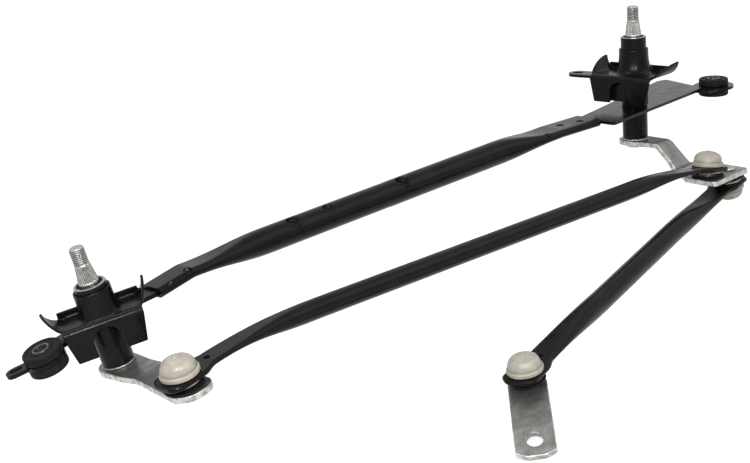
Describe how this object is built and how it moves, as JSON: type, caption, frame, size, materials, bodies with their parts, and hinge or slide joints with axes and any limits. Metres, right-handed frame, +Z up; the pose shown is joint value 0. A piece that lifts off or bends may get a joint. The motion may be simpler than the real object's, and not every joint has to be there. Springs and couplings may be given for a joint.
{
  "type": "windshield wiper linkage",
  "caption": "Windshield wiper linkage: a pressed cross tube carries pivot shafts whose levers are joined by a tie rod and driven from a motor crank by a drive rod.",
  "frame": {"origin": "centre of the left mounting grommet", "axes": "+X from the left pivot to the right pivot, +Y away from the levers, +Z up along the pivot shafts"},
  "size_m": [0.7333, 0.2616, 0.1842],
  "materials": {
    "black_paint": "satin black paint",
    "zinc_plate": "zinc plated pressed steel",
    "bright_steel": "bright turned steel",
    "cream_nylon": "moulded cream nylon",
    "black_rubber": "matte black rubber",
    "bush_bronze": "sintered bronze"
  },
  "bodies": {
    "frame": {"frame_tube": "black_paint", "left_saddle": "black_paint", "right_saddle": "black_paint", "left_pivot_tube": "black_paint", "right_pivot_tube": "black_paint", "left_upper_bush": "bush_bronze", "left_lower_bush": "bush_bronze", "right_upper_bush": "bush_bronze", "right_lower_bush": "bush_bronze", "left_shaft_seal": "black_rubber", "right_shaft_seal": "black_rubber", "left_mount_arm": "black_paint", "right_bracket_plate": "black_paint", "right_mount_strap": "black_paint", "left_grommet": "black_rubber", "right_grommet": "black_rubber", "left_grommet_sleeve": "bright_steel", "right_grommet_sleeve": "bright_steel"},
    "left_pivot": {"left_pivot_shaft": "bright_steel", "left_retaining_ring": "bright_steel", "left_thrust_washer": "bright_steel", "left_lever": "zinc_plate", "left_ball_stud": "bright_steel", "left_ball_boot": "black_rubber"},
    "right_pivot": {"right_pivot_shaft": "bright_steel", "right_retaining_ring": "bright_steel", "right_thrust_washer": "bright_steel", "right_lever": "zinc_plate", "right_upper_ball_stud": "bright_steel", "right_upper_ball_boot": "black_rubber", "right_lower_ball_stud": "bright_steel", "right_lower_ball_boot": "black_rubber"},
    "tie_rod": {"tie_rod": "black_paint", "tie_rod_left_socket": "cream_nylon", "tie_rod_right_socket": "cream_nylon"},
    "drive_rod": {"drive_rod": "black_paint", "drive_rod_lever_socket": "cream_nylon", "drive_rod_motor_socket": "cream_nylon", "drive_rod_motor_boot": "black_rubber"},
    "motor_crank": {"motor_crank": "zinc_plate", "motor_crank_ball_stud": "bright_steel"}
  },
  "joints": [
    {"name": "right_sweep", "type": "hinge", "parent": "frame", "child": "right_pivot", "pos_m": [0.59146, -0.00584, 0.04013], "axis": [0.1115, -0.0321, 0.9932], "range_deg": [-42, 42]},
    {"name": "left_sweep", "type": "hinge", "parent": "frame", "child": "left_pivot", "pos_m": [0.03856, -0.00584, 0.03613], "axis": [-0.1115, 0.0321, 0.9932], "range_deg": [-43, 43]},
    {"name": "tie_rod_swing", "type": "hinge", "parent": "right_pivot", "child": "tie_rod", "pos_m": [0.57385, -0.08037, -0.05957], "axis": [0.1183, -0.0652, 0.9908], "range_deg": [-43, 43]},
    {"name": "drive_rod_swing", "type": "hinge", "parent": "right_pivot", "child": "drive_rod", "pos_m": [0.5978, -0.08083, -0.08563], "axis": [0.1115, -0.0321, 0.9932], "range_deg": [-35, 35]},
    {"name": "crank_spin", "type": "hinge", "parent": "drive_rod", "child": "motor_crank", "pos_m": [0.25473, -0.15501, -0.08716], "axis": [-0.0639, -0.0138, 0.9979], "continuous": true}
  ],
  "couplings": [
    {"joint": "left_sweep", "follows": "right_sweep", "ratio": 0.99334},
    {"joint": "tie_rod_swing", "follows": "right_sweep", "ratio": -1.0014}
  ]
}
